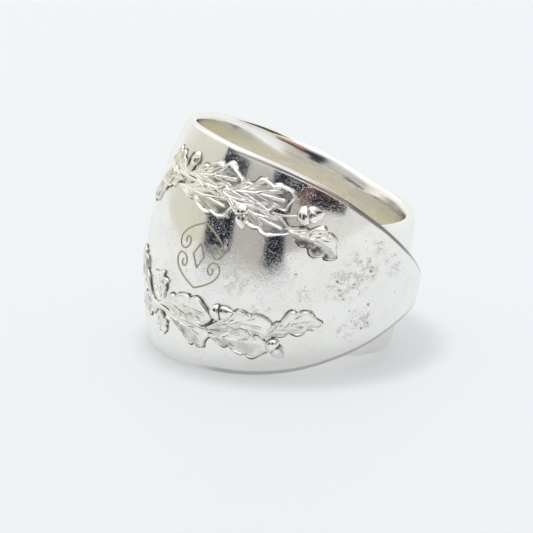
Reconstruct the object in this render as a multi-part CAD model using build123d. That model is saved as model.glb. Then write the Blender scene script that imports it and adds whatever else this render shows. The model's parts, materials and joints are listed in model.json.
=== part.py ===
from build123d import *
import math
import os

os.makedirs("parts", exist_ok=True)

# Spoon ring: the handle of a spoon, bent once round a finger so that its broad decorated end
# laps over the outside of its narrow shank. Lengths are millimetres, turns are degrees.
# Turn 0 is the middle of the front, turns grow towards the tip of the handle, and height is
# measured along the finger from the middle of the band.

# Finger hole and handle
finger_radius = 9.0
terminal_width = 17.6
terminal_thickness = 1.0
shank_width = 10.4
shank_thickness = 1.5
rim_round = 0.3

# Roundness across the handle
crown_drop = 1.7
hollow_drop = 1.4
shank_crown_drop = 0.25
shank_hollow_drop = 0.06
lap_flattening = 0.95

# Lap of the tip over the shank
shank_tuck = 0.5
shank_drift = 0.6
lap_gap = 0.35
tip_closing_turn = 5.0
tip_fullness = 0.5
tip_end_width = 1.0
lap_rise = shank_thickness - shank_tuck + lap_gap

# Oak leaves and acorns raised on the front
leaf_rise = 0.26
rib_rise = 0.42
leaf_breadth = 1.8
rib_breadth = 0.22
rib_share = 0.88
acorn_length = 2.1
acorn_radius = 0.62
acorn_sink = 0.2
cup_radius_share = 1.25
cup_length_share = 0.42
relief_margin = 0.35

# Direction from which the front is seen when the ring lies on a table
front_turn = 7.8

# Stations along the handle, from the hidden end of the shank towards the tip.
# spread: 0 has the shank's width and thickness, 1 has the terminal's
# taper: share of that width, body: share of that thickness
# crown: share of the terminal's crown and hollow
# wind: -1 is tucked in under the tip, 1 is raised over the shank
# flat: share of the hollow that is flattened out where the lap lies on the shank
# drift: how far the handle's middle lies too low, as a share of shank_drift
STATION_COLUMNS = ("turn", "spread", "taper", "body", "crown", "wind", "flat", "drift")
STATION_ROWS = [
    (-325, 0.00, 0.97, 0.40, 0.00, -1.00, 0.00, 1.00),
    (-300, 0.00, 0.99, 0.77, 0.00, -1.00, 0.00, 1.00),
    (-260, 0.00, 1.00, 1.00, 0.00, -0.90, 0.00, 0.95),
    (-220, 0.00, 1.00, 1.00, 0.00, -0.40, 0.00, 0.55),
    (-185, 0.28, 1.00, 1.00, 0.08, 0.00, 0.00, 0.15),
    (-150, 0.64, 1.00, 1.00, 0.30, 0.00, 0.00, 0.00),
    (-115, 0.90, 1.00, 1.00, 0.60, 0.00, 0.00, 0.00),
    (-80, 0.975, 1.00, 1.00, 0.86, 0.00, 0.00, 0.00),
    (-50, 1.00, 1.00, 1.00, 1.00, 0.00, 0.00, 0.00),
    (-25, 1.00, 0.975, 1.00, 1.00, 0.00, 0.00, 0.00),
    (0, 1.00, 0.926, 1.00, 1.00, 0.00, 0.00, 0.00),
    (25, 1.00, 0.815, 1.00, 1.00, 0.11, 0.18, 0.00),
    (50, 1.00, 0.585, 1.00, 0.97, 0.52, 0.83, 0.00),
    (70, 1.00, 0.340, 0.95, 0.87, 0.85, 1.00, 0.15),
    (80, 1.00, 0.235, 0.90, 0.87, 0.94, 1.00, 0.55),
    (88, 1.00, 0.166, 0.82, 0.87, 0.99, 1.00, 0.95),
    (95, 1.00, 0.105, 0.75, 0.87, 1.00, 1.00, 1.35),
]
STATIONS = [dict(zip(STATION_COLUMNS, row)) for row in STATION_ROWS]
RELIEF_TURNS = (-115, 50)
TIP_SHARES = (0.55, 0.85, 0.985)

# Leaves: where the stem starts and where the leaf ends, heights as shares of half the
# terminal's width, breadth as a share of leaf_breadth
LEAF_COLUMNS = ("stem_turn", "stem_height", "end_turn", "end_height", "breadth")
LEAF_ROWS = [
    (-44, 0.64, -16, 0.75, 0.95),
    (-47, 0.53, -17, 0.47, 0.80),
    (-24, 0.62, 11, 0.65, 1.10),
    (-23, 0.60, 9, 0.42, 0.90),
    (9, 0.44, 32, 0.25, 1.00),
    (-46, 0.62, -66, 0.72, 0.90),
    (-47, 0.55, -66, 0.48, 0.80),
    (-45, -0.52, -18, -0.46, 1.10),
    (-40, -0.60, -17, -0.72, 0.95),
    (-19, -0.56, 11, -0.45, 1.10),
    (-18, -0.65, 11, -0.68, 0.85),
    (9, -0.50, 31, -0.30, 1.15),
    (-43, -0.50, -58, -0.28, 1.00),
    (-45, -0.58, -66, -0.55, 0.90),
    (-43, -0.62, -58, -0.76, 0.80),
]
LEAVES = [dict(zip(LEAF_COLUMNS, row)) for row in LEAF_ROWS]

# Half outline of a nut from its cup to its point, as shares of its length and of its radius
NUT_OUTLINE = [(0.0, 0.8), (0.62, 1.0), (0.88, 0.42), (1.0, 0.0)]

# Half outline of a lobed leaf: notches, and the tops of the round lobes between them,
# as shares of its length and of half its breadth
LEAF_NOTCHES = [(0.0, 0.0), (0.28, 0.40), (0.53, 0.52), (0.80, 0.50), (1.0, 0.0)]
LEAF_LOBES = [(0.15, 0.55), (0.41, 0.98), (0.68, 1.0), (0.94, 0.42)]

# Acorns: place of the cup's foot, direction of the nut in degrees from the handle's length
ACORN_COLUMNS = ("turn", "height", "direction", "size")
ACORN_ROWS = [
    (-46, 0.74, 80, 0.80),
    (13, 0.57, 12, 1.00),
    (-11, 0.53, -75, 0.70),
    (-16, -0.43, 32, 0.95),
    (11, -0.57, -20, 0.60),
]
ACORNS = [dict(zip(ACORN_COLUMNS, row)) for row in ACORN_ROWS]


def blend(start, end, share):
    return start + (end - start) * share


def tip_stations(last):
    """Stations that close the handle from its last full station to its rounded tip."""
    rows = []
    for share in TIP_SHARES:
        row = dict(last)
        row["turn"] = last["turn"] + tip_closing_turn * share
        row["taper"] = last["taper"] * (1 - share * share) ** tip_fullness
        rows.append(row)
    return rows


def section(station, rise=0.0, floor_share=1.0, margin=0.0):
    """Closed outline across the handle, standing on the ring's axis at a station's turn.

    rise lifts the outer face, floor_share is how deep the inner face lies through the metal
    and margin narrows the outline on both sides.
    """
    half = blend(shank_width, terminal_width, station["spread"]) * station["taper"] / 2
    half = max(half - margin, tip_end_width / 2)
    metal = blend(shank_thickness, terminal_thickness, station["spread"]) * station["body"]
    wind = station["wind"]
    inner = finger_radius + wind * (lap_rise if wind > 0 else shank_tuck)
    outer = inner + metal
    roundness = station["crown"] * (2 * half / terminal_width) ** 2
    shank_share = (1 - station["spread"]) * (2 * half / shank_width) ** 2
    outer_drop = crown_drop * roundness + shank_crown_drop * shank_share
    inner_drop = hollow_drop * roundness * (1 - lap_flattening * station["flat"])
    inner_drop += shank_hollow_drop * 2 * half / shank_width
    floor = outer - metal * floor_share
    floor_drop = blend(outer_drop, inner_drop, floor_share)
    edge = half - rim_round * metal
    top = outer + rise
    side_radius = (top - outer_drop + floor - floor_drop) / 2
    with BuildLine() as outline:
        ThreePointArc((-edge, top - outer_drop), (0, top), (edge, top - outer_drop))
        ThreePointArc((edge, top - outer_drop), (half, side_radius), (edge, floor - floor_drop))
        ThreePointArc((edge, floor - floor_drop), (0, floor), (-edge, floor - floor_drop))
        ThreePointArc((-edge, floor - floor_drop), (-half, side_radius), (-edge, top - outer_drop))
    turn = math.radians(station["turn"])
    middle = (0, 0, -shank_drift * station["drift"])
    standing = Plane(origin=middle, x_dir=(0, 0, 1), z_dir=(math.cos(turn), math.sin(turn), 0))
    return standing * make_face(outline.line)


def surface_plane(turn, height):
    """Plane on the finger hole's wall: X along the handle, Y along the finger, Z outwards."""
    angle = math.radians(turn)
    outward = (math.sin(angle), -math.cos(angle), 0)
    origin = (outward[0] * finger_radius, outward[1] * finger_radius, height)
    return Plane(origin=origin, x_dir=(math.cos(angle), math.sin(angle), 0), z_dir=outward)


def outer_radius(height):
    """Radius of the front's outer face at a height along the finger."""
    return finger_radius + terminal_thickness - crown_drop * (2 * height / terminal_width) ** 2


def leaf_outline(length, half_breadth):
    """Flat lobed leaf, its stem at the origin and its length along X."""
    arcs = []
    for side in (1, -1):
        notches = [(x * length, side * y * half_breadth) for x, y in LEAF_NOTCHES][::side]
        lobes = [(x * length, side * y * half_breadth) for x, y in LEAF_LOBES][::side]
        for start, top, end in zip(notches, lobes, notches[1:]):
            arcs.append(ThreePointArc(start, top, end))
    return make_face(arcs)


def leaf_cutters(leaf):
    """Upright solids with a leaf's lobed outline and with its middle rib, reaching through the face."""
    half_terminal = terminal_width / 2
    start_height = leaf["stem_height"] * half_terminal
    end_height = leaf["end_height"] * half_terminal
    radius = finger_radius + terminal_thickness
    half_turn = math.radians(leaf["end_turn"] - leaf["stem_turn"]) / 2
    along = 2 * radius * math.sin(half_turn)
    across = end_height - start_height
    length = math.hypot(along, across)
    direction = math.degrees(math.atan2(across, along))
    outline = leaf_outline(length, leaf_breadth * leaf["breadth"] / 2)
    rib = Pos(length * rib_share / 2, 0, 0) * Rectangle(length * rib_share, rib_breadth)
    turn = (leaf["stem_turn"] + leaf["end_turn"]) / 2
    middle = surface_plane(turn, (start_height + end_height) / 2)
    stem = middle * Rot(0, 0, direction) * Pos(-length / 2, 0, 0)
    reach = terminal_thickness + 2 * rib_rise + crown_drop
    return stem * extrude(outline, reach), stem * extrude(rib, reach)


def acorn(row):
    """An acorn lying half sunk in the face: a pointed nut and the wider cup that holds it."""
    height = row["height"] * terminal_width / 2
    length = acorn_length * row["size"]
    nut_radius = acorn_radius * row["size"]
    cup_radius = nut_radius * cup_radius_share
    cup_length = length * cup_length_share
    side = [(x * length, y * nut_radius) for x, y in NUT_OUTLINE]
    nut_edges = [Line((0, 0), side[0]), Spline(*side), Line(side[-1], (0, 0))]
    rim = (cup_length, cup_radius)
    swell = (cup_length / 3, cup_radius * 0.85)
    cup_edges = [Line((0, 0), (cup_length, 0)), Line((cup_length, 0), rim), ThreePointArc(rim, swell, (0, 0))]
    nut = revolve(make_face(nut_edges), Axis.X)
    cup = revolve(make_face(cup_edges), Axis.X)
    seat = surface_plane(row["turn"], height)
    lift = outer_radius(height) - finger_radius - acorn_sink
    return seat * Pos(0, 0, lift) * Rot(0, 0, row["direction"]) * (nut + cup)


def relief_layer(rise):
    """The front's outer skin, from the middle of the metal to a rise above its face."""
    first, last = RELIEF_TURNS
    rows = [s for s in STATIONS if first <= s["turn"] <= last]
    return loft([section(row, rise, 0.5, relief_margin) for row in rows])


def resting_up(points, centre):
    """Direction that points up when the ring lies with its middle of mass as low as it can."""
    def middle_height(lean_x, lean_y):
        size = math.sqrt(lean_x * lean_x + lean_y * lean_y + 1)
        lowest = min(lean_x * p[0] + lean_y * p[1] + p[2] for p in points)
        return (lean_x * centre[0] + lean_y * centre[1] + centre[2] - lowest) / size

    lean = (0.0, 0.0)
    best = middle_height(*lean)
    step = 0.1
    directions = [math.radians(15 * i) for i in range(24)]
    while step > 1e-6:
        tries = [(lean[0] + step * math.cos(d), lean[1] + step * math.sin(d)) for d in directions]
        nearest = min(tries, key=lambda pair: middle_height(*pair))
        if middle_height(*nearest) < best:
            lean = nearest
            best = middle_height(*lean)
        else:
            step /= 2
    return Vector(lean[0], lean[1], 1).normalized()


# Plain bent handle
handle = loft([section(row) for row in STATIONS + tip_stations(STATIONS[-1])])

# Raised leaves, their ribs, and the acorns
leaf_layer = relief_layer(leaf_rise)
rib_layer = relief_layer(rib_rise)
acorn_layer = relief_layer(acorn_radius)
relief = []
for leaf in LEAVES:
    blade, ridge = leaf_cutters(leaf)
    relief.append(leaf_layer & blade)
    relief.append(rib_layer & ridge)
for row in ACORNS:
    relief.append(acorn_layer & acorn(row))
ring = handle + relief

# Laid down on its lower edge, as it rests by itself, with the front towards -Y
vertices, _ = ring.tessellate(0.02, 0.2)
lower_points = [(v.X, v.Y, v.Z) for v in vertices if v.Z < 0]
mass_middle = ring.center(CenterOf.MASS)
up = resting_up(lower_points, (mass_middle.X, mass_middle.Y, mass_middle.Z))
front = math.radians(front_turn)
table = Plane(origin=(0, 0, 0), x_dir=(math.cos(front), math.sin(front), 0), z_dir=up)
spoon_ring = table.location.inverse() * ring
box = spoon_ring.bounding_box()
spoon_ring = Pos(-box.center().X, -box.center().Y, -box.min.Z) * spoon_ring

export_step(spoon_ring, "parts/spoon_ring.step")
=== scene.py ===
import json
import math

import bpy
from mathutils import Matrix, Vector


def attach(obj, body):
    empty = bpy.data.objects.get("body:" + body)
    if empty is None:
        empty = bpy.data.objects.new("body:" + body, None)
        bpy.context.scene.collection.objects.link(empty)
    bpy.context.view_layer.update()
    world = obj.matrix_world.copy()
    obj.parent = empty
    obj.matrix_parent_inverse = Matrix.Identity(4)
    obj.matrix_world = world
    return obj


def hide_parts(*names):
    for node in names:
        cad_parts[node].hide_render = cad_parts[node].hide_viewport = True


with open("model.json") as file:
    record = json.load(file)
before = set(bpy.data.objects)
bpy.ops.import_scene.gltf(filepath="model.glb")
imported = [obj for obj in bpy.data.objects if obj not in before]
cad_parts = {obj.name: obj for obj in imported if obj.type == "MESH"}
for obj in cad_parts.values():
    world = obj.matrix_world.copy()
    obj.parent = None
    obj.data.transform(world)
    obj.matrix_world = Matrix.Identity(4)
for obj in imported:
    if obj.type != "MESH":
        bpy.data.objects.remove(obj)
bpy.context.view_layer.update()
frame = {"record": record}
bpy.ops.object.select_all(action="DESELECT")

# Lengths are millimetres until a piece is laid down, and turns are degrees round the finger.
# Every piece is made flat, as the blank of a spoon handle: X along the handle, Z along the
# finger, and -Y outwards. It is then wound to the ring and laid down at its true size.
MILLIMETRE = 0.001
CENTIMETRE = 10

# Band
FINGER_RADIUS = 9.0
BROAD_WIDTH = 17.6
BROAD_THICKNESS = 1.0
SHANK_WIDTH = 10.4
SHANK_THICKNESS = 1.5
FACE_RADIUS = FINGER_RADIUS + BROAD_THICKNESS
RIM_ROUND = 0.3
SHANK_RIM_ROUND = 0.62
MOST_ROUNDING = 0.6  # of the half width
CROWN_DROP = 1.7
HOLLOW_DROP = 1.4
SHANK_CROWN_DROP = 0.25
SHANK_HOLLOW_DROP = 0.06
LAP_FLATTENING = 0.95
WALL_TURN_OUT = 0.85
SHANK_TUCK = 0.5
SHANK_DRIFT = 0.6
LAP_GAP = 0.35
LAP_RISE = SHANK_THICKNESS - SHANK_TUCK + LAP_GAP
FRONT_TURN = 7.8

# Stations along the handle, from the hidden end of the shank to the tip
STATION_COLUMNS = ("turn", "spread", "taper", "body", "crown", "wind", "flat", "drift")
STATION_ROWS = [
    (-325, 0.00, 0.97, 0.40, 0.00, -1.00, 0.00, 1.00),
    (-300, 0.00, 0.99, 0.77, 0.00, -1.00, 0.00, 1.00),
    (-260, 0.00, 1.00, 1.00, 0.00, -0.90, 0.00, 0.95),
    (-220, 0.00, 1.00, 1.00, 0.00, -0.40, 0.00, 0.55),
    (-185, 0.28, 1.00, 1.00, 0.08, 0.00, 0.00, 0.15),
    (-150, 0.64, 1.00, 1.00, 0.30, 0.00, 0.00, 0.00),
    (-115, 0.90, 1.00, 1.00, 0.60, 0.00, 0.00, 0.00),
    (-80, 0.975, 1.00, 1.00, 0.86, 0.00, 0.00, 0.00),
    (-50, 1.00, 1.00, 1.00, 1.00, 0.00, 0.00, 0.00),
    (-25, 1.00, 0.975, 1.00, 1.00, 0.00, 0.00, 0.00),
    (0, 1.00, 0.926, 1.00, 1.00, 0.00, 0.00, 0.00),
    (25, 1.00, 0.815, 1.00, 1.00, 0.11, 0.18, 0.00),
    (50, 1.00, 0.585, 1.00, 0.97, 0.52, 0.83, 0.00),
    (70, 1.00, 0.340, 0.95, 0.87, 0.85, 1.00, 0.15),
    (80, 1.00, 0.235, 0.90, 0.87, 0.94, 1.00, 0.55),
    (88, 1.00, 0.166, 0.82, 0.87, 0.99, 1.00, 0.95),
    (95, 1.00, 0.105, 0.75, 0.87, 1.00, 1.00, 1.35),
    (98, 1.00, 0.082, 0.72, 0.87, 1.00, 1.00, 1.35),
    (99.5, 1.00, 0.050, 0.68, 0.87, 1.00, 1.00, 1.35),
    (100, 1.00, 0.020, 0.60, 0.87, 1.00, 1.00, 1.35),
]
# Where the band's sections stand, closer together at both ends
SECTION_TURNS = [-325, -324, -320, *range(-313, 84, 7), 86, 91, 94.5, 97, 98.7, 99.6, 100]
# Across the face and back across the wall, in shares of the half width
FACE_SHARES = [-1.0, -0.93, -0.78, -0.52, -0.26, 0.0, 0.26, 0.52, 0.78, 0.93, 1.0]
WALL_SHARES = [1.0, 0.95, 0.87, 0.74, 0.5, 0.2, -0.2, -0.5, -0.74, -0.87, -0.95, -1.0]
# Over the rim: share of the metal's depth, and how far short of the edge in shares of the rounding
RIM_STEPS = [(0.10, 0.22), (0.42, -0.01), (0.80, 0.12)]
OFF_THE_FACE = 9.0  # written for the wall, where the face's distance from the edge means nothing
WALL_NORMAL = 0.55  # a face that looks inwards by at least this much is wall

# Leaves: stem and end in turns and heights, breadth (below 0 for a mirrored leaf), bow, rise, slant
# and how much painted shade darkens the lower half
LEAF_COLUMNS = (
    "stem_turn", "stem_height", "end_turn", "end_height", "breadth", "bow", "rise", "slant", "painted_shade"
)
UPPER_LEAVES = [
    (-57, 4.8, -76, 2.4, -1.5, 0.05, 0.13, 0, 0.2),
    (-46, 5.6, -15.6, 6.4, 2.25, 0.05, 0.28, 0.25, 0.1),
    (-50, 4.6, -15.4, 4.25, -2.04, 0.06, 0.26, -0.1, 0.3),
    (-24, 5.45, 10.6, 5.7, 2.25, 0.08, 0.29, 0.25, 0.3),
    (-24, 5.4, 9.8, 3.7, -1.98, -0.03, 0.3, -0.1, 0.15),
    (8.8, 3.8, 32.5, 2.6, 2.2, 0.06, 0.34, 0.75, 1.0),
    (-47, 5.5, -64, 6.6, 1.87, 0.1, 0.15, 0, 0.1),
    (-48, 5, -66, 4.3, -1.76, -0.1, 0.14, 0, 0.1),
]
LOWER_LEAVES = [
    (-56, -4.5, -74, -1.4, 1.9, 0.05, 0.15, 0, 0.2),
    (-48, -4.6, -17, -4.1, 2.2, 0.12, 0.28, 0.2, 0.15),
    (-41, -5.1, -16.8, -5.9, -2.2, 0.04, 0.26, 0.1, 0.35),
    (-18, -5.05, 11, -3.95, 2.09, 0.17, 0.28, 0.3, 0.1),
    (-18, -5.55, 11, -5.45, -2.2, 0.08, 0.28, 0, 0.3),
    (7, -4.7, 30.8, -2.6, 1.95, 0.12, 0.27, 0.2, 0.1),
    (-45.5, -4.4, -50, -2.15, 2.31, 0, 0.2, 0, 0.1),
    (-48, -5, -68, -5.3, 1.87, 0, 0.15, 0, 0.1),
    (-48, -4.9, -45.5, -6.9, 1.43, 0, 0.18, 0, 0.1),
]

# Edge of a leaf one long and two broad: from its stem along one side to its end, and along the other
LEAF_EDGE_LEFT = [
    (0.00, 0.06), (0.08, 0.15), (0.16, 0.28), (0.24, 0.46), (0.30, 0.60), (0.35, 0.64), (0.39, 0.56),
    (0.42, 0.57), (0.46, 0.76), (0.52, 0.96), (0.585, 1.03), (0.645, 0.98), (0.68, 0.85), (0.705, 0.81),
    (0.75, 0.92), (0.81, 0.95), (0.88, 0.85), (0.945, 0.64), (0.985, 0.36),
]
LEAF_EDGE_RIGHT = [
    (1.00, 0.06), (0.995, -0.24), (0.96, -0.52), (0.90, -0.70), (0.84, -0.71), (0.80, -0.60),
    (0.77, -0.60), (0.72, -0.80), (0.65, -0.93), (0.58, -0.92), (0.52, -0.76), (0.485, -0.63),
    (0.455, -0.62), (0.40, -0.70), (0.34, -0.64), (0.26, -0.44), (0.18, -0.27), (0.09, -0.15),
    (0.00, -0.06),
]
LEAF_EDGE_STEPS = 3
# Across a leaf, from its spine outwards: share of the way to its edge, and how far its face has
# turned up into the rim
LEAF_RINGS = [
    (0.00, 0.0), (0.05, 0.0), (0.10, 0.0), (0.16, 0.0), (0.23, 0.0), (0.30, 0.0), (0.38, 0.0),
    (0.46, 0.0), (0.54, 0.0), (0.62, 0.0), (0.70, 0.02), (0.78, 0.09), (0.84, 0.28), (0.88, 0.68),
    (0.91, 1.0), (0.95, 1.0), (0.977, 0.62),
]
# Outside the rim: millimetres out from the edge of a usual leaf, and height in parts of its rise
LEAF_FOOT = [(0.0, 0.28), (0.03, 0.10), (0.15, 0.06), (0.17, -0.40)]
USUAL_LEAF = (5.2, 1.15)
LEAF_SPINE = (0.05, 0.86)
LEAF_WELD = 1e-5
# Height of a leaf's face in parts of its rise, and its swells and dents: strength, place and spread
# along the leaf, place and spread across it
LEAF_FACE = 0.50
LEAF_SWELLS = [
    (0.16, 0.30, 0.22, 0.0, 0.5),
    (0.14, 0.90, 0.12, 0.0, math.inf),
    (-0.30, 0.66, 0.075, -0.30, 0.18),
    (-0.16, 0.42, 0.06, 0.30, 0.16),
]
LEAF_UNEVENNESS = 0.07
# Veins: places where they leave the spine and where they end near the edge
LEAF_VEINS = [
    ((0.06, 0.0), (0.88, 0.04)),
    ((0.12, 0.02), (0.33, 0.46)),
    ((0.22, 0.01), (0.57, 0.74)),
    ((0.48, 0.01), (0.80, 0.66)),
    ((0.14, -0.02), (0.39, -0.50)),
    ((0.30, -0.01), (0.64, -0.68)),
    ((0.54, -0.01), (0.86, -0.48)),
]
VEIN_BREADTH_SHARE = 0.36  # what a step across the leaf counts for against one along it
# A vein's ridge and the groove beside it: strength, distance from the vein, spread
VEIN_PROFILE = [(0.20, 0.0, 0.011), (-0.10, 0.029, 0.012)]
VEINS_START = 0.12
# Rim: height at the stem and beyond it, where it starts and over what length it rises, and its notch
RIM_HEIGHTS = (0.62, 1.0)
RIM_CLIMB = (0.10, 0.35)
RIM_NOTCH = (0.10, 0.70, 0.05)
# Painted shade on a leaf's lower half: strength, place and spread along the leaf, place and spread across
# it
PAINTED_LEAF_SHADE = [(1.6, 0.58, 0.36, 0.42, 0.34)]
PAINTED_SHADE_CLEARANCE = 0.05
LEAF_WAVER = 0.09

# Acorns: place, direction of the nut from the handle's length, size
ACORN_COLUMNS = ("turn", "height", "direction", "size")
UPPER_ACORNS = [(12.9, 4.80, 15, 1.02), (-12.3, 4.85, -74, 0.86)]
LOWER_ACORNS = [(-16.8, -3.7, 12, 0.96), (10.8, -4.85, -38, 0.90)]
UPPER_BUDS = [(-44.5, 6.25, 100, 0.86)]
# Profiles along an acorn: place and radius
BUD_PROFILE = [
    (0.00, 0.10), (0.06, 0.30), (0.24, 0.50), (0.52, 0.62), (0.84, 0.62), (1.10, 0.50), (1.28, 0.32),
    (1.38, 0.10),
]
CUP_PROFILE = [
    (0.00, 0.12), (0.05, 0.36), (0.18, 0.58), (0.42, 0.72), (0.70, 0.77), (0.90, 0.73), (0.96, 0.58)
]
NUT_PROFILE = [
    (0.82, 0.46), (1.00, 0.60), (1.28, 0.67), (1.58, 0.60), (1.86, 0.44), (2.10, 0.26), (2.26, 0.12),
    (2.36, 0.02),
]
ACORN_SIDES = 20
ACORN_SCALE = 0.93
ACORN_FLATTENING = 0.75
ACORN_SINK = 0.05
# Knobs of the cup: how deep in shares of its radius, how many round it, and how close along it
KNOB_DEPTH = 0.05
KNOBS_ROUND = 9
KNOBS_ALONG = 11
# Painted shade on an acorn: strength, place and spread along it, place and spread across it
PAINTED_ACORN_SHADE = [
    (0.95, 1.0, 0.08, 0.0, math.inf),
    (0.75, 1.45, 0.45, 0.34, 0.24),
    (0.40, 0.3, 0.25, -0.4, 0.3),
]

# Stems: three places each, in turns and heights, and their half thickness
UPPER_STEMS = [
    ((-52, 5.4), (-40, 5.25), (-26, 5.4), 0.15),
    ((2, 4.75), (8, 4.6), (14, 4.9), 0.10),
    ((-1, 4.35), (5, 4.25), (11, 3.85), 0.12),
    ((-15, 5.0), (-14, 4.8), (-13, 4.5), 0.10),
    ((-46, 5.3), (-45.5, 5.9), (-44.5, 6.3), 0.10),
    ((-49, 5.4), (-52, 6.3), (-50, 7.1), 0.09),
    ((-31, 5.35), (-18, 4.95), (-4, 4.35), 0.07),
]
LOWER_STEMS = [
    ((-56, -4.7), (-38, -5.05), (-18, -5.2), 0.15),
    ((-24, -5.1), (-17, -4.8), (-16.5, -3.9), 0.09),
    ((-20, -5.2), (-2, -5.05), (12, -4.5), 0.12),
    ((3, -4.95), (8, -4.8), (11, -5.0), 0.08),
    ((-20, -5.0), (-8, -4.65), (8, -4.55), 0.06),
]
STEM_LIFT = 0.3  # of the half thickness

# Ornament cut into the bare middle: one quarter of it, as turns and heights from its centre
FLOURISH_TURN = -27.0
FLOURISH_HEIGHT = 0.2
FLOURISH_LINES = [
    [
        (0, 2.5), (3.4, 2.25), (8.4, 1.75), (12.0, 1.0), (11.2, 0.2), (7.4, 0.1), (5.0, 0.75), (7.0, 1.35),
        (9.0, 0.9), (7.8, 0.65),
    ],
    [(0, 0.95), (1.7, 0.4), (2.9, 0)],
]
FLOURISH_HALF_WIDTH = 0.08
FLOURISH_SINK = 0.7  # of the half width

# Marks on the face: patches of pitting as turn, height, radius and strength, and the larger pits
# singly as turn, height and radius
PITTED_PATCHES = [
    (41, 0.6, 2.3, 1.0), (46, 1.6, 2.0, 1.0), (49, -2.4, 1.6, 1.0), (36, 0.0, 1.5, 1.0),
    (60, 1.9, 1.6, 0.8), (53, 3.4, 1.3, 0.7), (43, -3.4, 1.2, 0.8), (-7, -0.8, 1.8, 0.65),
    (22, -1.0, 1.1, 0.6), (-13, 1.1, 1.4, 0.5), (6, -2.6, 1.5, 0.5),
]
SINGLE_PITS = [
    (35, 0.5, 0.13), (48, 2.2, 0.13), (49, 1.5, 0.11), (43, -1.7, 0.07), (51, -1.1, 0.12),
    (53, -2.6, 0.12), (17, 0.6, 0.07), (22, -0.2, 0.06), (61, 2.7, 0.07), (68, 1.5, 0.07),
    (36.5, -0.1, 0.06), (39, -0.8, 0.09), (45, 3.7, 0.07), (57, 4.4, 0.08), (45, -2.5, 0.08),
    (41, -3.4, 0.08), (64, -0.2, 0.06),
]
PIT_CORE = 0.4  # of a single pit's radius is fully dark
PIT_FADE = 1.25  # of a single pit's radius is where it has faded out


def blend(start, end, share):
    return start + (end - start) * share


def steepness(rows, j, column):
    """Slope of a column at row j: level where the column turns back, and at the last row."""
    if j == len(rows) - 1:
        return 0.0
    after = (rows[j + 1][column] - rows[j][column]) / (rows[j + 1][0] - rows[j][0])
    if j == 0:
        return after
    before = (rows[j][column] - rows[j - 1][column]) / (rows[j][0] - rows[j - 1][0])
    return 0.0 if before * after <= 0 else 2 * before * after / (before + after)


def smooth_between(rows, place):
    """Values at a place along rows of (place, value, ...), on a curve with no overshoot."""
    place = min(max(place, rows[0][0]), rows[-1][0])
    i = 0
    while i < len(rows) - 2 and place > rows[i + 1][0]:
        i += 1
    step = rows[i + 1][0] - rows[i][0]
    u = (place - rows[i][0]) / step
    weights = (2 * u**3 - 3 * u**2 + 1, u**3 - 2 * u**2 + u, 3 * u**2 - 2 * u**3, u**3 - u**2)
    values = []
    for column in range(1, len(rows[0])):
        parts = (
            rows[i][column],
            steepness(rows, i, column) * step,
            rows[i + 1][column],
            steepness(rows, i + 1, column) * step,
        )
        values.append(sum(weight * part for weight, part in zip(weights, parts)))
    return values


def station(turn):
    return dict(zip(STATION_COLUMNS[1:], smooth_between(STATION_ROWS, turn)))


def half_width(row):
    return blend(SHANK_WIDTH, BROAD_WIDTH, row["spread"]) * row["taper"] / 2


def rounding(row):
    """Radius of the rim, less where the handle is narrow."""
    return min(blend(SHANK_RIM_ROUND, RIM_ROUND, row["spread"]), half_width(row) * MOST_ROUNDING)


def winding_radius(row):
    """Radius of the wall at its middle: the lap is wound outside the shank, whose end is tucked in."""
    return FINGER_RADIUS + row["wind"] * (LAP_RISE if row["wind"] > 0 else SHANK_TUCK)


def face_depth(row, height):
    """How far the outer face lies inside FACE_RADIUS."""
    metal = blend(SHANK_THICKNESS, BROAD_THICKNESS, row["spread"]) * row["body"]
    drop = CROWN_DROP * row["crown"] * (2 * height / BROAD_WIDTH) ** 2
    drop += SHANK_CROWN_DROP * (1 - row["spread"]) * (2 * height / SHANK_WIDTH) ** 2
    return FACE_RADIUS - winding_radius(row) - metal + drop


def wall_depth(row, height):
    """How far the inner wall lies inside FACE_RADIUS."""
    roundness = row["crown"] * (2 * height / BROAD_WIDTH) ** 2
    drop = HOLLOW_DROP * roundness * (1 - LAP_FLATTENING * row["flat"])
    half = half_width(row)
    drop += SHANK_HOLLOW_DROP * 2 * half / SHANK_WIDTH * (height / half) ** 2
    drop -= WALL_TURN_OUT * (1 - row["spread"]) * row["body"] * (height / half) ** 6
    return FACE_RADIUS - winding_radius(row) + drop


def along(turn):
    return math.radians(turn) * FACE_RADIUS


def turn_at(vertex):
    return math.degrees(vertex.co.x / FACE_RADIUS)


def only(piece):
    bpy.ops.object.select_all(action="DESELECT")
    piece.select_set(True)
    bpy.context.view_layer.objects.active = piece
    return piece


def in_edit(piece, *steps):
    only(piece)
    bpy.ops.object.mode_set(mode="EDIT")
    bpy.ops.mesh.select_all(action="SELECT")
    for step in steps:
        step()
    bpy.ops.object.mode_set(mode="OBJECT")


def net(name, rows, columns):
    """A flat sheet of rows by columns of vertices, to be drawn into shape."""
    bpy.ops.mesh.primitive_grid_add(x_subdivisions=columns - 1, y_subdivisions=rows - 1, size=1)
    piece = bpy.context.object
    piece.name = name
    return piece


def draw_into_shape(piece, rows, columns, place):
    """Moves vertex (row, column) of a net to place(row, column)."""
    corner = min(v.co.x for v in piece.data.vertices), min(v.co.y for v in piece.data.vertices)
    for vertex in piece.data.vertices:
        column = round((vertex.co.x - corner[0]) * (columns - 1))
        row = round((vertex.co.y - corner[1]) * (rows - 1))
        vertex.co = place(row, column)


def weld(piece, gap=1e-4):
    in_edit(
        piece,
        lambda: bpy.ops.mesh.remove_doubles(threshold=gap),
        lambda: bpy.ops.mesh.dissolve_degenerate(threshold=gap),
        lambda: bpy.ops.mesh.normals_make_consistent(inside=False),
    )


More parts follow.
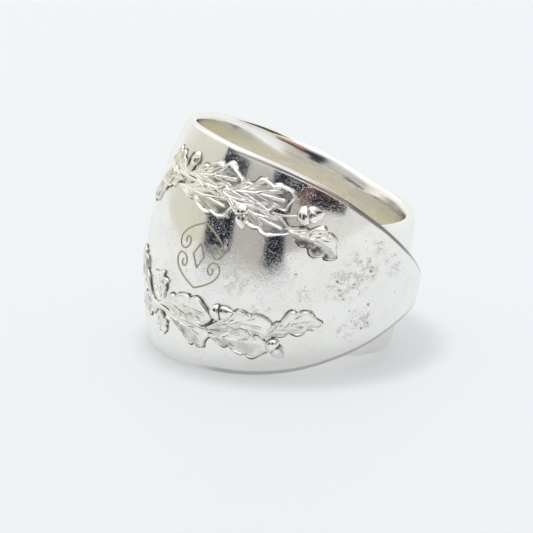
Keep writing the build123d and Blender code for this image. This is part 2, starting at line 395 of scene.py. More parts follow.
def finish_modifier(piece, kind, **settings):
    only(piece)
    modifier = piece.modifiers.new(kind.lower(), kind)
    for name, value in settings.items():
        setattr(modifier, name, value)
    bpy.ops.object.modifier_apply(modifier=modifier.name)


def subdivide_smooth(piece, levels):
    finish_modifier(piece, "SUBSURF", levels=levels, render_levels=levels)


def copy_of(pattern):
    """A copy with its own mesh."""
    piece = pattern.copy()
    piece.data = pattern.data.copy()
    bpy.context.collection.objects.link(piece)
    return piece


def join_as(name, pieces):
    only(pieces[0])
    for piece in pieces:
        piece.select_set(True)
    bpy.ops.object.join()
    whole = bpy.context.object
    whole.name = name
    whole.data.name = name
    return whole


def note(piece, name, values):
    """Writes a named value at each of a piece's vertices, for its material to read."""
    layer = piece.data.attributes.new(name, "FLOAT", "POINT")
    for i, value in enumerate(values):
        layer.data[i].value = value


def wind(piece):
    """Bends a flat piece round the finger and lays it down with the ring."""
    low = min(v.co.x for v in piece.data.vertices)
    high = max(v.co.x for v in piece.data.vertices)
    finish_modifier(
        piece, "SIMPLE_DEFORM", deform_method="BEND", deform_axis="Z", angle=(high - low) / FACE_RADIUS
    )
    piece.data.transform(REST @ Matrix.Translation((0, -FACE_RADIUS, 0)))
    only(piece)
    bpy.ops.object.shade_smooth()


def resting_place():
    """From the ring's own frame in millimetres to where it lies, read from the finger hole."""
    hole = frame["record"]["mounts"][0]
    axis = Vector(hole["axis"]).normalized()
    sideways = Vector((axis.z, 0, -axis.x)).normalized()
    leaning = Matrix((sideways, axis.cross(sideways), axis)).transposed().to_4x4()
    centre = Matrix.Translation(Vector(hole["pos_m"]))
    facing = Matrix.Rotation(-math.radians(FRONT_TURN), 4, "Z")
    return centre @ leaning @ facing @ Matrix.Scale(MILLIMETRE, 4)


REST = resting_place()


# Making the band


def section_points(turn):
    """Outline across the handle at a turn, once round, as flat places."""
    row = station(turn)
    half = half_width(row)
    edge = half - rounding(row)
    face_edge = face_depth(row, edge)
    metal = wall_depth(row, edge) - face_edge
    face = [(face_depth(row, edge * share), edge * share) for share in FACE_SHARES]
    rim = [(face_edge + metal * deep, half - rounding(row) * short) for deep, short in RIM_STEPS]
    wall = [(wall_depth(row, edge * share), edge * share) for share in WALL_SHARES]
    lower_rim = [(depth, -height) for depth, height in reversed(rim)]
    middle = -SHANK_DRIFT * row["drift"]
    return [(along(turn), depth, middle + height) for depth, height in face + rim + wall + lower_rim]


def make_band():
    sections = [section_points(turn) for turn in SECTION_TURNS]
    around = len(sections[0])
    band = net("band", around + 1, len(sections))
    draw_into_shape(band, around + 1, len(sections), lambda row, column: sections[column][row % around])
    weld(band)
    in_edit(
        band,
        lambda: bpy.ops.mesh.select_all(action="DESELECT"),
        lambda: bpy.ops.mesh.select_mode(type="EDGE"),
        lambda: bpy.ops.mesh.select_non_manifold(),
        lambda: bpy.ops.mesh.edge_face_add(),
        lambda: bpy.ops.mesh.select_mode(type="VERT"),
    )
    subdivide_smooth(band, 3)
    lay_out_uv(band)
    note_edge(band)
    return band


def note_edge(band):
    """Writes how far each place lies from the edge, in millimetres: from_edge on both sides, and
    inside_edge on the face alone."""
    from_edge, inside_edge = [], []
    for vertex in band.data.vertices:
        row = station(turn_at(vertex))
        half = half_width(row)
        edge = half - rounding(row)
        height = abs(vertex.co.z + SHANK_DRIFT * row["drift"])
        metal = wall_depth(row, edge) - face_depth(row, edge)
        on_face = vertex.co.y < face_depth(row, min(height, edge)) + metal / 2
        from_edge.append(half - height)
        inside_edge.append(half - height if on_face else OFF_THE_FACE)
    note(band, "inside_edge", inside_edge)
    note(band, "from_edge", from_edge)


def lay_out_uv(piece):
    """A map of the flat blank in centimetres, so that marks keep their size round the bend."""
    layer = piece.data.uv_layers.active or piece.data.uv_layers.new(name="blank")
    layer.name = "blank"
    for loop in piece.data.loops:
        co = piece.data.vertices[loop.vertex_index].co
        layer.data[loop.index].uv = (co.x / CENTIMETRE, co.z / CENTIMETRE)


def mark_wall(band):
    """Gives the faces that look towards the finger the wall's finish, before the band is wound."""
    for face in band.data.polygons:
        face.material_index = 1 if face.normal.y > WALL_NORMAL else 0


# Making the leaves, acorns and stems


def face_place(turn, height, lift):
    """A flat place on the outer face at a turn, lifted outwards."""
    return Vector((along(turn), face_depth(station(turn), height) - lift, height))


def lay_on_face(piece, turn, height, direction, scale=1.0):
    """Turns a flat part in the sheet's plane, moves it to its place and drapes it over the crown."""
    swing = Matrix.Rotation(-math.radians(direction), 4, "Y")
    middle = Matrix.Translation((along(turn), 0, height))
    piece.data.transform(middle @ swing @ Matrix.Scale(scale, 4))
    for vertex in piece.data.vertices:
        vertex.co.y += face_depth(station(turn_at(vertex)), vertex.co.z)


def through(places, steps):
    """Places on a smooth closed curve through the given ones, as many steps from one to the next."""
    count = len(places)
    curve = []
    for i in range(count):
        near = [places[(i + k) % count] for k in (-1, 0, 1, 2)]
        for step in range(steps):
            u = step / steps
            weights = (
                (-u + 2 * u**2 - u**3) / 2,
                (2 - 5 * u**2 + 3 * u**3) / 2,
                (u + 4 * u**2 - 3 * u**3) / 2,
                (-(u**2) + u**3) / 2,
            )
            curve.append(tuple(sum(w * p[axis] for w, p in zip(weights, near)) for axis in (0, 1)))
    return curve


def hill(place, top, spread):
    return math.exp(-(((place - top) / spread) ** 2))


def hills(rows, x, y):
    """Sum of soft hills: strength, place and spread along, place and spread across."""
    return sum(
        strength * hill(x, top_x, spread_x) * hill(y, top_y, spread_y)
        for strength, top_x, spread_x, top_y, spread_y in rows
    )


def clamp(value):
    return min(max(value, 0.0), 1.0)


def far_from_vein(x, y, vein):
    """Distance to a vein, in parts of the leaf's length."""
    (start_x, start_y), (end_x, end_y) = vein
    run, rise = end_x - start_x, (end_y - start_y) * VEIN_BREADTH_SHARE
    out, up = x - start_x, (y - start_y) * VEIN_BREADTH_SHARE
    share = clamp((out * run + up * rise) / (run * run + rise * rise))
    return math.hypot(out - run * share, up - rise * share)


def leaf_lift(x, y, turned_up):
    """Height of a leaf's face in parts of its rise: veined and uneven, cupped inside a curled rim."""
    far = min(far_from_vein(x, y, vein) for vein in LEAF_VEINS)
    veins = sum(strength * hill(far, top, spread) for strength, top, spread in VEIN_PROFILE)
    face = LEAF_FACE + hills(LEAF_SWELLS, x, y) + min(x / VEINS_START, 1.0) * veins
    face += LEAF_UNEVENNESS * math.sin(17 * x + 5 * y) * math.cos(7 * y - 3 * x)
    climb_start, climb_length = RIM_CLIMB
    notch_depth, notch_place, notch_spread = RIM_NOTCH
    rim = blend(*RIM_HEIGHTS, clamp((x - climb_start) / climb_length))
    rim -= notch_depth * hill(x, notch_place, notch_spread)
    return blend(face, rim, turned_up)


def make_leaf():
    """One lobed leaf, one long and two broad, lying flat with its stem at the origin."""
    edge = through(LEAF_EDGE_LEFT + LEAF_EDGE_RIGHT, LEAF_EDGE_STEPS)
    rows, columns = len(LEAF_RINGS) + len(LEAF_FOOT), len(edge) + 1
    usual_length, usual_half = USUAL_LEAF

    def place(row, column):
        x, y = edge[column % len(edge)]
        spine = min(max(x, LEAF_SPINE[0]), LEAF_SPINE[1])
        if row < len(LEAF_RINGS):
            share, turned_up = LEAF_RINGS[row]
            height = leaf_lift(spine + (x - spine) * share, y * share, turned_up)
        else:
            out, height = LEAF_FOOT[row - len(LEAF_RINGS)]
            share = 1 + out / math.hypot((x - spine) * usual_length, y * usual_half)
        return (spine + (x - spine) * share, -height, y * share)

    leaf = net("leaf", rows, columns)
    draw_into_shape(leaf, rows, columns, place)
    weld(leaf, LEAF_WELD)
    return leaf


def painted_shade_below(x, below):
    """How much painted shade darkens a place in the lower half of a leaf."""
    return min(hills(PAINTED_LEAF_SHADE, x, below), 1.0) if below > PAINTED_SHADE_CLEARANCE else 0.0


def place_leaf(pattern, row, order):
    """A leaf drawn from the pattern to its length and breadth, wavered, bowed and laid down."""
    spec = dict(zip(LEAF_COLUMNS, row))
    run = along(spec["end_turn"]) - along(spec["stem_turn"])
    rise = spec["end_height"] - spec["stem_height"]
    length = math.hypot(run, rise)
    half = spec["breadth"] / 2
    upper = 1 if half > 0 else -1
    leaf = copy_of(pattern)
    places = [vertex.co.copy() for vertex in leaf.data.vertices]
    # Painted shade on the lower half, which the relief's material darkens
    note(leaf, "painted_shade", [spec["painted_shade"] * painted_shade_below(x, -z * upper) for x, y, z in places])
    for vertex, (x, y, z) in zip(leaf.data.vertices, places):
        bowed = spec["bow"] * math.sin(math.pi * clamp(x)) * length / 2
        slanted = y * (1 + spec["slant"] * z * upper) if y < 0 else y
        broader = 1 + LEAF_WAVER * math.sin(12 * x + 2.3 * order + (1.7 if z > 0 else 0))
        longer = 1 + LEAF_WAVER / 2 * math.sin(4 * z + 1.9 * order)
        vertex.co = (x * length * longer, slanted * spec["rise"], z * half * broader + bowed)
    in_edit(leaf, lambda: bpy.ops.mesh.normals_make_consistent(inside=False))
    lay_on_face(leaf, spec["stem_turn"], spec["stem_height"], math.degrees(math.atan2(rise, run)))
    return leaf


def lathe(name, profile):
    """A solid of revolution along X from rows of (place, radius): a ring pulled out row by row."""
    start, radius = profile[0]
    bpy.ops.mesh.primitive_circle_add(
        vertices=ACORN_SIDES,
        radius=radius,
        fill_type="NGON",
        location=(start, 0, 0),
        rotation=(0, math.pi / 2, 0),
    )
    piece = bpy.context.object
    piece.name = name
    bpy.ops.object.transform_apply(location=True, rotation=True, scale=True)
    bpy.ops.object.mode_set(mode="EDIT")
    bpy.ops.mesh.select_all(action="SELECT")
    for (before, old), (after, new) in zip(profile, profile[1:]):
        bpy.ops.mesh.extrude_region_move(TRANSFORM_OT_translate={"value": (after - before, 0, 0)})
        bpy.ops.transform.resize(value=(1, new / old, new / old), center_override=(after, 0, 0))
    bpy.ops.mesh.select_all(action="SELECT")
    bpy.ops.mesh.normals_make_consistent(inside=False)
    bpy.ops.object.mode_set(mode="OBJECT")
    return piece


def make_acorn():
    cup = lathe("cup", CUP_PROFILE)
    for vertex in cup.data.vertices:
        around = math.atan2(vertex.co.z, vertex.co.y)
        knob = 1 + KNOB_DEPTH * math.cos(KNOBS_ROUND * around) * math.cos(KNOBS_ALONG * vertex.co.x)
        vertex.co.y *= knob
        vertex.co.z *= knob
    nut = lathe("nut", NUT_PROFILE)
    subdivide_smooth(cup, 1)
    subdivide_smooth(nut, 1)
    return join_as("acorn", [cup, nut])


def make_bud():
    bud = lathe("bud", BUD_PROFILE)
    subdivide_smooth(bud, 1)
    return bud


def place_acorn(pattern, row):
    spec = dict(zip(ACORN_COLUMNS, row))
    acorn = copy_of(pattern)
    # Painted shade: a dark ring where cup meets nut, the nut darker on one side and the cup on the other
    note(acorn, "painted_shade", [hills(PAINTED_ACORN_SHADE, v.co.x, v.co.z) for v in acorn.data.vertices])
    for vertex in acorn.data.vertices:
        vertex.co.y = vertex.co.y * ACORN_FLATTENING - ACORN_SINK
    lay_on_face(acorn, spec["turn"], spec["height"], spec["direction"], spec["size"] * ACORN_SCALE)
    return acorn


def line_piece(name, places, half_thickness, lift, sides=3):
    """A round line drawn smoothly through flat places."""
    bpy.ops.curve.primitive_nurbs_path_add()
    line = bpy.context.object
    line.name = name
    line.data.splines.clear()
    spline = line.data.splines.new("NURBS")
    spline.points.add(len(places) - 1)
    for point, (turn, height) in zip(spline.points, places):
        point.co = (*face_place(turn, height, lift), 1)
    spline.order_u = min(len(places), 4)
    spline.use_endpoint_u = True
    spline.resolution_u = 10
    line.data.bevel_depth = half_thickness
    line.data.bevel_resolution = sides
    line.data.use_fill_caps = True
    only(line)
    bpy.ops.object.convert(target="MESH")
    return bpy.context.object


def make_spray(name, patterns, leaves, acorns, buds, stems):
    leaf, acorn, bud = patterns
    pieces = [place_leaf(leaf, row, order) for order, row in enumerate(leaves)]
    for piece in pieces:
        subdivide_smooth(piece, 1)
    pieces += [place_acorn(acorn, row) for row in acorns]
    pieces += [place_acorn(bud, row) for row in buds]
    pieces += [line_piece("stem", places, half, half * STEM_LIFT) for *places, half in stems]
    spray = join_as(name, pieces)
    note_lift(spray)
    return spray


def note_lift(spray):
    """Writes how far each place stands above the handle's face, in millimetres: grime and painted
    contact shade stay low.
    """
    lifts = []
    for vertex in spray.data.vertices:
        lifts.append(face_depth(station(turn_at(vertex)), vertex.co.z) - vertex.co.y)
    note(spray, "lift", lifts)


def make_flourish():
    lines = []
    for quarter in FLOURISH_LINES:
        for side, way in ((1, 1), (-1, 1), (1, -1), (-1, -1)):
            places = [
                (FLOURISH_TURN + side * turn, FLOURISH_HEIGHT + way * height) for turn, height in quarter
            ]
            sunk = -FLOURISH_HALF_WIDTH * FLOURISH_SINK
            lines.append(line_piece("cut", places, FLOURISH_HALF_WIDTH, sunk, sides=2))
    return join_as("flourish", lines)


# Materials


class Wiring:
    """A small help for wiring nodes: each method adds a node and gives its output."""

    def __init__(self, tree):
        self.nodes = tree.nodes
        self.links = tree.links

    def add(self, kind, inputs=(), **settings):
        node = self.nodes.new(kind)
        for name, value in settings.items():
            setattr(node, name, value)
        for name, value in dict(inputs).items():
            self.feed(node.inputs[name], value)
        return node

    def feed(self, socket, value):
        if isinstance(value, bpy.types.NodeSocket):
            self.links.new(value, socket)
        else:
            socket.default_value = value

    def maths(self, operation, values):
        """A sum, product or maximum of two or more values."""
        whole = values[0]
        for value in values[1:]:
            node = self.add("ShaderNodeMath", operation=operation)
            self.feed(node.inputs[0], whole)
            self.feed(node.inputs[1], value)
            whole = node.outputs[0]
        return whole

    def times(self, *values):
        return self.maths("MULTIPLY", values)

    def plus(self, *values):
        return self.maths("ADD", values)

    def most(self, *values):
        return self.maths("MAXIMUM", values)

    def place(self):
        return self.add("ShaderNodeTexCoord").outputs["Object"]

    def blank(self):
        """Place on the flat blank's map, in centimetres."""
        return self.add("ShaderNodeUVMap", uv_map="blank").outputs["UV"]

    def noted(self, name):
        """A value that note() wrote on the mesh."""
        return self.add("ShaderNodeAttribute", attribute_name=name).outputs["Fac"]

    def part(self, vector, axis):
        return self.add("ShaderNodeSeparateXYZ", {"Vector": vector}).outputs[axis]

    def noise(self, vector, scale, detail=2.0, roughness=0.5, output="Fac"):
        inputs = {"Vector": vector, "Scale": scale, "Detail": detail, "Roughness": roughness}
        return self.add("ShaderNodeTexNoise", inputs).outputs[output]

    def ramp(self, value, low, high, start=0.0, end=1.0):
        """From start to end, smoothly, while the value goes from low to high."""
        inputs = {"Value": value, "From Min": low, "From Max": high, "To Min": start, "To Max": end}
        return self.add("ShaderNodeMapRange", inputs, interpolation_type="SMOOTHSTEP").outputs["Result"]

    def mix(self, share, first, second):
        node = self.add("ShaderNodeMix", data_type="RGBA")
        self.feed(node.inputs["Factor"], share)
        for socket, value in zip([s for s in node.inputs if s.type == "RGBA"], (first, second)):
            self.feed(socket, value)
        return [s for s in node.outputs if s.type == "RGBA"][0]

    def vectors(self, operation, first, second):
        node = self.add("ShaderNodeVectorMath", operation=operation)
        self.feed(node.inputs[0], first)
        self.feed(node.inputs["Scale" if operation == "SCALE" else 1], second)
        return node.outputs["Value" if operation == "DISTANCE" else "Vector"]

    def bump(self, height, strength, distance, normal=None):
        node = self.add("ShaderNodeBump", {"Height": height, "Strength": strength, "Distance": distance})
        if normal is not None:
            self.feed(node.inputs["Normal"], normal)
        return node.outputs["Normal"]


class Paint(Wiring):
    """A material and its shader."""

    def __init__(self, name):
        self.material = bpy.data.materials.new(name)
        self.material.use_nodes = True
        super().__init__(self.material.node_tree)
        self.shader = self.nodes["Principled BSDF"]

    def set(self, **settings):
        """Feeds the shader's sockets, named with underscores for spaces."""
        for name, value in settings.items():
            self.feed(self.shader.inputs[name.replace("_", " ")], value)
        return self.material


BRIGHT_SILVER = (0.93, 0.925, 0.895, 1)
FACE_HAZE = (0.84, 0.835, 0.80, 1)
CLEAR_WALL = (0.95, 0.93, 0.88, 1)
YELLOWED_WALL = (0.98, 0.915, 0.72, 1)
RELIEF_SILVER = (0.95, 0.94, 0.905, 1)
RELIEF_HAZE = (0.84, 0.83, 0.79, 1)
CREAM_FILM = (0.94, 0.91, 0.77, 1)
# Dark tarnish, also used as painted shade along the face's edges and on the relief
TARNISH_AND_SHADE = (0.10, 0.088, 0.072, 1)
CUT_DARK = (0.33, 0.30, 0.21, 1)
CUT_PALE = (0.54, 0.50, 0.39, 1)

# Plate: how much its haze dulls and roughens it, how much its grain roughens it, and the depths of
# grain, scratches, pits, frosting and the relief's unevenness in metres
HAZE_DULLS = 0.45
HAZE_ROUGHENS = 0.05
GRAIN_ROUGHENS = 0.05
GRAIN_DEPTH = 0.00002
SCRATCH_DEPTH = 0.00001
PIT_DEPTH = 0.00005
FROSTING_DEPTH = 0.00003
RELIEF_DEPTH = 0.00008
# Hairline scratches: how the noise that makes them is turned, in radians, and stretched
SCRATCHES = [
    ((0.4, 0.28, 0.4), (900, 60000, 900)),
    ((-0.9, -0.63, -0.9), (60000, 900, 900)),
    ((1.3, 0.91, 1.3), (900, 900, 50000)),
]
# How far a stain, and the painted shade mixed in with it, hides the silver, and how much it roughens it
PITS_AND_EDGE_SHADE_HIDE = 0.80
PITS_ROUGHEN = 0.30
GRIME_AND_SHADE_HIDE = 0.94
GRIME_ROUGHENS = 0.20
WEAR_ROUGHENS = 0.06
FILM_ROUGHENS = 0.12
FILM_METALLIC = 0.55
PIT_RAGGEDNESS = 0.035
EDGE_RAGGEDNESS = 0.22
FAINT_EDGE = 0.52


def map_along(turn):
    """How far along the blank's map a turn lies."""
    return along(turn) / CENTIMETRE


def map_place(turn, height):
    return (map_along(turn), height / CENTIMETRE, 0)


def polished(paint, bright, dull, roughness, grain, scratch):
    """Worn plate with hazy patches, fine grain and hairline scratches: color, roughness and normal."""
    place = paint.place()
    haze = paint.ramp(paint.noise(place, scale=260, detail=4, roughness=0.55), low=0.35, high=0.70)
    fine = paint.noise(place, scale=9500, roughness=0.6)
    color = paint.mix(paint.times(haze, HAZE_DULLS), bright, dull)
    rough = paint.plus(paint.times(haze, HAZE_ROUGHENS), roughness, paint.times(fine, GRAIN_ROUGHENS))
    normal = paint.bump(fine, grain, GRAIN_DEPTH)
    for angles, stretch in SCRATCHES:
        mapping = paint.add("ShaderNodeMapping", {"Vector": place, "Rotation": angles, "Scale": stretch})
        streaks = paint.noise(mapping.outputs["Vector"], scale=1.0, detail=1.0)
        hairlines = paint.ramp(streaks, low=0.60, high=0.72)
        normal = paint.bump(hairlines, scratch, -SCRATCH_DEPTH, normal)
        rough = paint.plus(rough, paint.times(hairlines, scratch))
    return color, rough, normal


def pitting(paint, blank):
    """Share of tarnished pit, from the patches, the single pits and a faint speckle over the whole face."""
    jitter = paint.vectors("SUBTRACT", paint.noise(blank, scale=70, output="Color"), (0.5, 0.5, 0.5))
    ragged = paint.vectors("ADD", blank, paint.vectors("SCALE", jitter, PIT_RAGGEDNESS))
    patches = []
    for turn, height, radius, strength in PITTED_PATCHES:
        far = paint.vectors("DISTANCE", blank, map_place(turn, height))
        patches.append(paint.ramp(far, low=0.0, high=radius / CENTIMETRE, start=strength, end=0.0))
    broken = paint.ramp(paint.noise(blank, scale=16, detail=3, roughness=0.65), low=0.40, high=0.66)
    pitted = paint.ramp(paint.times(paint.most(*patches), broken), low=0.0, high=0.55)
    fine = paint.noise(ragged, scale=110, detail=3, roughness=0.75)
    fine = paint.ramp(fine, low=0.47, high=0.64, end=0.64)
    coarse = paint.noise(ragged, scale=48, detail=3, roughness=0.65)
    coarse = paint.ramp(coarse, low=0.565, high=0.68)
    speckle = paint.ramp(paint.noise(ragged, scale=105, roughness=0.7), low=0.58, high=0.72)
    reach = paint.ramp(paint.noise(blank, scale=6, detail=3), low=0.42, high=0.60, start=0.06, end=0.42)
    single = []
    for turn, height, radius in SINGLE_PITS:
        far = paint.vectors("DISTANCE", ragged, map_place(turn, height))
        core, fade = radius * PIT_CORE / CENTIMETRE, radius * PIT_FADE / CENTIMETRE
        single.append(paint.ramp(far, low=core, high=fade, start=0.95, end=0.0))
    return paint.most(paint.times(paint.most(fine, coarse), pitted), paint.times(speckle, reach), *single)


def edge_grime_and_shade(paint, blank):
    """A ragged dark line, grime and painted shade, along the face's edges; strongest on the lap's upper
    edge.
    """
    inside = paint.noted("inside_edge")
    waver = paint.times(paint.noise(blank, scale=80, detail=3, roughness=0.7), EDGE_RAGGEDNESS)
    line = paint.times(
        paint.ramp(paint.plus(inside, waver), low=0.44, high=0.58, start=1.0, end=0.0),
        paint.ramp(inside, low=0.0, high=0.08),
    )
    x = paint.part(blank, "X")
    upper = paint.maths("GREATER_THAN", (paint.part(blank, "Y"), 0.0))
    on_lap = paint.ramp(x, low=map_along(30), high=map_along(38))
    short_of_tip = paint.ramp(x, low=map_along(62), high=map_along(80), start=1.0, end=0.40)
    faint = paint.times(paint.ramp(x, low=map_along(-26), high=map_along(-8)), FAINT_EDGE)
    return paint.times(line, paint.most(paint.times(upper, on_lap, short_of_tip), faint))


def face_silver():
    """Mirror polish with pits and an edge line of grime and painted shade, frosted below the middle."""
    paint = Paint("polished_face")
    color, rough, normal = polished(
        paint, bright=BRIGHT_SILVER, dull=FACE_HAZE, roughness=0.010, grain=0.085, scratch=0.04
    )
    blank = paint.blank()
    # Pits, and the edge line that is partly painted shade, darken the silver
    pits_and_edge_shade = paint.most(pitting(paint, blank), edge_grime_and_shade(paint, blank))
    below = paint.ramp(paint.part(blank, "Y"), low=0.0, high=0.22, start=1.0, end=0.0)
    patchy = paint.ramp(paint.noise(blank, scale=14, detail=3, roughness=0.6), low=0.3, high=0.7, start=0.4)
    worn = paint.times(below, patchy)
    stretched = paint.vectors("MULTIPLY", blank, (60.0, 90.0, 1.0))
    frosting = paint.times(paint.noise(stretched, scale=1.0, detail=3, roughness=0.75), worn)
    normal = paint.bump(frosting, 0.5, FROSTING_DEPTH, normal)
    return paint.set(
        Metallic=1.0,
        Base_Color=paint.mix(paint.times(pits_and_edge_shade, PITS_AND_EDGE_SHADE_HIDE), color, TARNISH_AND_SHADE),
        Roughness=paint.plus(rough, paint.times(worn, WEAR_ROUGHENS), paint.times(pits_and_edge_shade, PITS_ROUGHEN)),
        Normal=paint.bump(pits_and_edge_shade, 0.5, -PIT_DEPTH, normal),
    )


def wall_silver():
    """The wall against the finger: bright at its edge, filmed further in, and yellowed round the shank."""
    paint = Paint("yellowed_wall")
    blank = paint.blank()
    warmth = paint.ramp(
        paint.part(blank, "X"), low=map_along(-200), high=map_along(-130), start=1.0, end=0.0
    )
    filmed = paint.mix(warmth, CLEAR_WALL, YELLOWED_WALL)
    color, rough, normal = polished(
        paint, bright=filmed, dull=filmed, roughness=0.10, grain=0.10, scratch=0.0
    )
    smears = paint.noise(paint.vectors("MULTIPLY", blank, (3.0, 9.0, 1.0)), scale=2.2, detail=3)
    film = paint.times(
        paint.ramp(paint.noted("from_edge"), low=1.1, high=2.4),
        paint.ramp(smears, low=0.3, high=0.7, start=0.7),
    )
    return paint.set(
        Metallic=paint.ramp(film, low=0.0, high=1.0, start=1.0, end=FILM_METALLIC),
        Base_Color=paint.mix(film, BRIGHT_SILVER, color),
        Roughness=paint.plus(rough, paint.times(film, FILM_ROUGHENS)),
        Normal=normal,
    )


def relief_silver():
    """Shining on the high rims, matte on the leaves' faces, with brown grime kept in every hollow,
    painted contact shade at the relief's foot, and painted shade on lower leaf halves and acorns.
    """
    paint = Paint("worn_relief")
    color, rough, normal = polished(
        paint, bright=RELIEF_SILVER, dull=RELIEF_HAZE, roughness=0.05, grain=0.08, scratch=0.04
    )
    place = paint.place()
    lift = paint.noted("lift")
    patchy = paint.noise(place, scale=1500, detail=3, roughness=0.6)
    bend = paint.add("ShaderNodeNewGeometry").outputs["Pointiness"]
    hollow = paint.ramp(bend, low=0.42, high=0.496, start=0.90, end=0.0)
    # Grime at the relief's foot, and painted contact shade there
    low = paint.ramp(lift, low=0.03, high=0.11, start=1.0, end=0.0)
    # Brown grime in the hollows, with the painted shade noted on leaves and acorns
    grime_and_shade = paint.times(
        paint.most(hollow, low, paint.noted("painted_shade")), paint.ramp(patchy, low=0.36, high=0.58, start=0.34)
    )
    at_left = paint.ramp(paint.part(place, "X"), low=-0.0070, high=-0.0015, start=0.55, end=0.0)
    high_up = paint.ramp(paint.part(place, "Z"), low=0.006, high=0.010)
    color = paint.mix(paint.times(at_left, high_up), color, CREAM_FILM)
    matte = paint.times(
        paint.ramp(lift, low=0.17, high=0.25, start=0.22, end=0.0),
        paint.ramp(patchy, low=0.3, high=0.7, start=0.6),
    )
    return paint.set(
        Metallic=1.0,
        Base_Color=paint.mix(paint.times(grime_and_shade, GRIME_AND_SHADE_HIDE), color, TARNISH_AND_SHADE),
        Roughness=paint.plus(rough, matte, paint.times(grime_and_shade, GRIME_ROUGHENS)),
        Normal=paint.bump(paint.noise(place, scale=2600), 0.25, RELIEF_DEPTH, normal),
    )


def cut_line():
    """Old tarnish in the cut ornament, in olive patches."""
    paint = Paint("tarnished_cut")
    patchy = paint.noise(paint.place(), scale=2500)
    return paint.set(
        Metallic=0.75,
        Base_Color=paint.mix(patchy, CUT_DARK, CUT_PALE),
        Roughness=paint.ramp(patchy, low=0.0, high=1.0, start=0.35, end=0.55),
    )


def dress(piece, *materials):
    piece.data.materials.clear()
    for material in materials:
        piece.data.materials.append(material)


def make_ring():
    band = make_band()
    dress(band, face_silver(), wall_silver())
    mark_wall(band)
    patterns = (make_leaf(), make_acorn(), make_bud())
    upper = make_spray("upper_spray", patterns, UPPER_LEAVES, UPPER_ACORNS, UPPER_BUDS, UPPER_STEMS)
    lower = make_spray("lower_spray", patterns, LOWER_LEAVES, LOWER_ACORNS, [], LOWER_STEMS)
    for pattern in patterns:
        bpy.data.objects.remove(pattern)
    flourish = make_flourish()
    relief = relief_silver()
    dress(upper, relief)
    dress(lower, relief)
    dress(flourish, cut_line())
    for piece in (band, upper, lower, flourish):
        wind(piece)
        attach(piece, "root")
    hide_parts("spoon_ring")


# Floor, in metres: it glows a little, as painted light that keeps the ring's shadow soft, and glows
# less under and close round the ring, as a painted contact shadow
FLOOR_SIZE = 6
FLOOR_PAPER = (0.215, 0.219, 0.228, 1)
FLOOR_GLOW = (0.955, 0.985, 1.0, 1)
SHADOW_MIDDLE = (0.0008, -0.0004, 0)


def make_floor():
    bpy.ops.mesh.primitive_plane_add(size=FLOOR_SIZE, location=(0, 0, 0))
    floor = bpy.context.object
    floor.name = "floor"
    paint = Paint("pale_floor")
    away = paint.vectors("DISTANCE", paint.place(), SHADOW_MIDDLE)
    # Painted contact shadow: the glow drops within 13 mm of the ring's middle, most within 10 mm
    glow_with_painted_shadow = paint.ramp(away, low=0.0100, high=0.0130, start=0.48, end=0.628)
    dress(
        floor,
        paint.set(
            Base_Color=FLOOR_PAPER,
            Roughness=0.6,
            Specular_IOR_Level=0.2,
            Emission_Color=FLOOR_GLOW,
            Emission_Strength=glow_with_painted_shadow,
        ),
    )


# Cards that only the silver sees. Each has its corners round from the lower left, as degrees round
# from the front and above the floor, its color, and for some how far from the face's middle their
# lower edge stands, in metres. A card hides the cards below it in the list.
DARK_CARD = (0.014, 0.018, 0.034, 1)
ORANGE_CARD = (0.50, 0.26, 0.16, 1)
BROWN_CARD = (0.13, 0.075, 0.060, 1)
OLIVE_CARD = (0.075, 0.070, 0.050, 1)
BRIGHT_CARD = (2.2, 2.2, 2.2, 1)
BEIGE_CARD = (0.50, 0.465, 0.44, 1)
CARDS = [
    (((-66, -2), (-40, -2), (-43, 33), (-76, 33)), DARK_CARD, None),
    (((9, 16.5), (19, 15), (20, 21), (8, 22.5)), BROWN_CARD, None),
    (((-14, -7), (3, -8), (1, 25), (-14, 36)), DARK_CARD, 0.045),
    (((-14, 22), (16, 18.5), (17, 27), (-10, 40)), DARK_CARD, None),
    (((16, 15.5), (40, 8.5), (43, 13), (17, 24.5)), DARK_CARD, None),
    (((12, 26), (42, 11.5), (50, 20), (16, 34)), ORANGE_CARD, None),
    (((56, 22), (112, 22), (112, 40), (56, 44)), OLIVE_CARD, None),
    (((14, 44), (46, 40), (48, 62), (14, 62)), BRIGHT_CARD, None),
    (((-42, -6), (-12, -9), (-12, 4), (-42, 4)), BEIGE_CARD, 0.045),
]
CARD_DISTANCE = 0.6
CARD_GAP = 0.01
FACE_MIDDLE = Vector((0, -0.010, 0.009))


def direction(turn, rise):
    """From the middle outwards: 0 round and 0 up is straight towards the front."""
    turn, rise = math.radians(turn), math.radians(rise)
    return Vector((math.sin(turn) * math.cos(rise), -math.cos(turn) * math.cos(rise), math.sin(rise)))


def make_cards():
    for i, (corners, color, foot) in enumerate(CARDS):
        bpy.ops.mesh.primitive_plane_add(size=1)
        card = bpy.context.object
        card.name = f"card_{i}"
        lower, upper = corners[:2], corners[:1:-1]
        for vertex in card.data.vertices:
            high, right = vertex.co.y > 0, vertex.co.x > 0
            outwards = direction(*(upper if high else lower)[right])
            if foot and not high:
                vertex.co = FACE_MIDDLE + outwards * foot
            else:
                vertex.co = outwards * (CARD_DISTANCE + CARD_GAP * i)
        paint = Paint(f"card_paper_{i}")
        dress(
            card,
            paint.set(
                Base_Color=(0, 0, 0, 1), Specular_IOR_Level=0.0, Emission_Color=color, Emission_Strength=1.0
            ),
        )
        card.visible_camera = False
        card.visible_diffuse = False
        card.visible_shadow = False


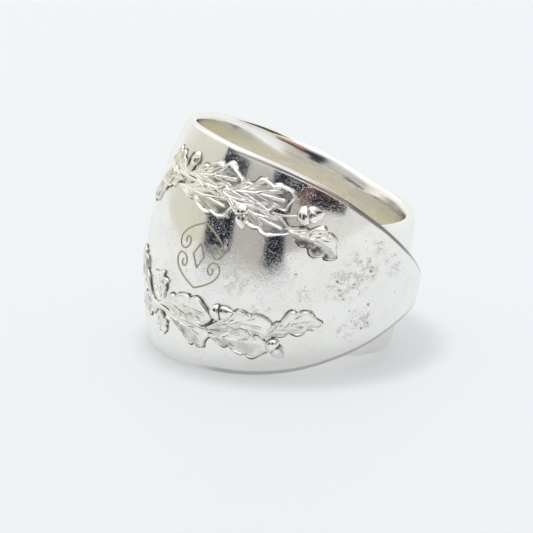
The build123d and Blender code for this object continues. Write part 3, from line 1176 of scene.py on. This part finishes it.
# Room: grey low down in front, white behind and overhead, a little warm at the left
ROOM_FRONT = (0.50, 0.475, 0.46, 1)
ROOM_RIGHT = (0.78, 0.77, 0.75, 1)
ROOM_BACK = (0.96, 0.96, 0.94, 1)
ROOM_LEFT = (0.74, 0.72, 0.62, 1)
ROOM_MIDDLE = (0.98, 0.98, 0.97, 1)
ROOM_TOP = (1.6, 1.6, 1.6, 1)
ROOM_STRENGTH = 0.98
WINDOW_PLACE = (-0.30, 0.22, 0.60)
WINDOW_SIZE = 1.1
WINDOW_ENERGY = 0.50


def make_room():
    world = bpy.data.worlds.new("studio")
    bpy.context.scene.world = world
    world.use_nodes = True
    room = Wiring(world.node_tree)
    way = room.add("ShaderNodeTexCoord").outputs["Generated"]
    x, y, z = (room.part(way, axis) for axis in "XYZ")
    color = room.mix(room.ramp(x, low=0.15, high=0.55), ROOM_FRONT, ROOM_RIGHT)
    color = room.mix(room.ramp(y, low=-0.15, high=0.30), color, ROOM_BACK)
    color = room.mix(room.ramp(x, low=-0.95, high=-0.55), ROOM_LEFT, color)
    color = room.mix(room.ramp(z, low=0.40, high=0.90), color, ROOM_MIDDLE)
    color = room.mix(room.ramp(z, low=0.75, high=0.90), color, ROOM_TOP)
    sky = room.nodes["Background"]
    room.feed(sky.inputs["Color"], color)
    room.feed(sky.inputs["Strength"], ROOM_STRENGTH)


def make_window():
    bpy.ops.object.light_add(type="AREA", location=WINDOW_PLACE)
    window = bpy.context.object
    window.name = "window_light"
    window.data.shape = "DISK"
    window.data.size = WINDOW_SIZE
    window.data.energy = WINDOW_ENERGY
    window.rotation_euler = Vector(WINDOW_PLACE).to_track_quat("Z", "Y").to_euler()


# Camera, in the ring's own frame: degrees round from the front, up, and rolled, and millimetres away
CAMERA_TURN = 7.78
CAMERA_RISE = 13.75
CAMERA_ROLL = 11.02
CAMERA_DISTANCE = 240.0
LENS = 212.2
SENSOR_WIDTH = 36
# In pixels of the photo: its width, and where the middle of the ring lies, from the left and the top
PHOTO_WIDTH = 533
RING_PIXEL = (278.4, 247.52)


def camera_place():
    """Where the camera stands, so that the ring has the angle and the place it has in the photo."""
    roll = math.radians(CAMERA_ROLL)
    back = direction(CAMERA_TURN, CAMERA_RISE)
    level = Vector((0, 0, 1)).cross(back).normalized()
    upright = back.cross(level)
    right = math.cos(roll) * level + math.sin(roll) * upright
    up = math.cos(roll) * upright - math.sin(roll) * level
    pixel = CAMERA_DISTANCE * SENSOR_WIDTH / (LENS * PHOTO_WIDTH)
    across, down = (middle - PHOTO_WIDTH / 2 for middle in RING_PIXEL)
    facing = Matrix((right, up, back)).transposed().to_4x4()
    facing.translation = CAMERA_DISTANCE * back - across * pixel * right + down * pixel * up
    whole = REST @ facing
    return Matrix.LocRotScale(whole.translation, whole.to_quaternion(), (1, 1, 1))


def make_camera():
    bpy.ops.object.camera_add()
    camera = bpy.context.object
    camera.name = "camera"
    camera.matrix_world = camera_place()
    camera.data.lens = LENS
    camera.data.sensor_width = SENSOR_WIDTH
    camera.data.clip_start = 0.02
    camera.data.clip_end = 20
    camera.data.dof.use_dof = False
    bpy.context.scene.camera = camera


make_ring()
make_floor()
make_cards()
make_room()
make_window()
make_camera()
bpy.context.scene.view_settings.view_transform = "Standard"
